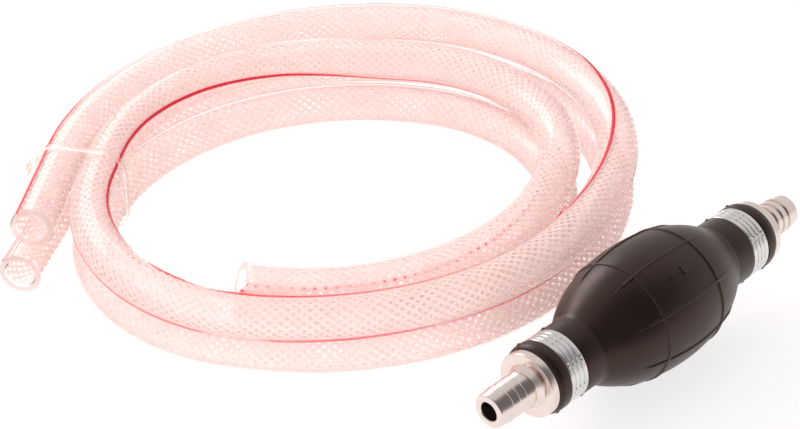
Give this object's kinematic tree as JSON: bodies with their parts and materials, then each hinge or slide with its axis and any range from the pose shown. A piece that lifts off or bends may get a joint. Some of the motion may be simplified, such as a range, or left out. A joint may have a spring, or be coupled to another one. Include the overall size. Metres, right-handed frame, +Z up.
{
  "type": "hand squeeze transfer pump",
  "caption": "Hand squeeze pump for gear oil: ribbed rubber bulb with hose barbs, crimped ferrules and sprung check valves, with clear braided hoses coiled beside it.",
  "frame": {"origin": "under the middle of the pump's bulb, on the surface that its belly rests on", "axes": "+X along the pump's axis, the way the oil flows, +Z up, the hose coil lies beside the pump on +Y"},
  "size_m": [0.2496, 0.278, 0.0482],
  "materials": {
    "bulb_rubber": "satin moulded black rubber",
    "turned_aluminium": "bright turned",
    "plated_steel": "bright zinc plate",
    "valve_plastic": "moulded natural acetal",
    "poppet_plastic": "moulded acetal",
    "seal_rubber": "black nitrile",
    "spring_wire": "drawn stainless wire",
    "clear_hose": "clear flexible PVC with woven reinforcement",
    "clear_nylon": "natural nylon"
  },
  "bodies": {
    "pump": {"squeeze_bulb": "bulb_rubber", "inlet_barb_fitting": "turned_aluminium", "outlet_barb_fitting": "turned_aluminium", "inlet_crimp_ferrule": "plated_steel", "outlet_crimp_ferrule": "plated_steel", "inlet_valve_body": "valve_plastic", "outlet_valve_body": "valve_plastic", "inlet_body_o_ring": "seal_rubber", "outlet_body_o_ring": "seal_rubber", "inlet_valve_spring": "spring_wire", "outlet_valve_spring": "spring_wire", "inlet_spring_retainer": "valve_plastic", "outlet_spring_retainer": "valve_plastic", "suction_hose": "clear_hose", "delivery_hose": "clear_hose", "hose_tie": "clear_nylon"},
    "inlet_valve": {"inlet_poppet": "poppet_plastic", "inlet_poppet_seal": "seal_rubber"},
    "outlet_valve": {"outlet_poppet": "poppet_plastic", "outlet_poppet_seal": "seal_rubber"}
  },
  "joints": [
    {"name": "inlet_valve_lift", "type": "slide", "parent": "pump", "child": "inlet_valve", "axis": [1, 0, 0], "range_m": [0, 0.0025], "stiffness_N_per_m": 60, "springref_m": -0.003, "deforming": ["inlet_valve_spring"]},
    {"name": "outlet_valve_lift", "type": "slide", "parent": "pump", "child": "outlet_valve", "axis": [1, 0, 0], "range_m": [0, 0.0025], "stiffness_N_per_m": 60, "springref_m": -0.003, "deforming": ["outlet_valve_spring"]}
  ]
}
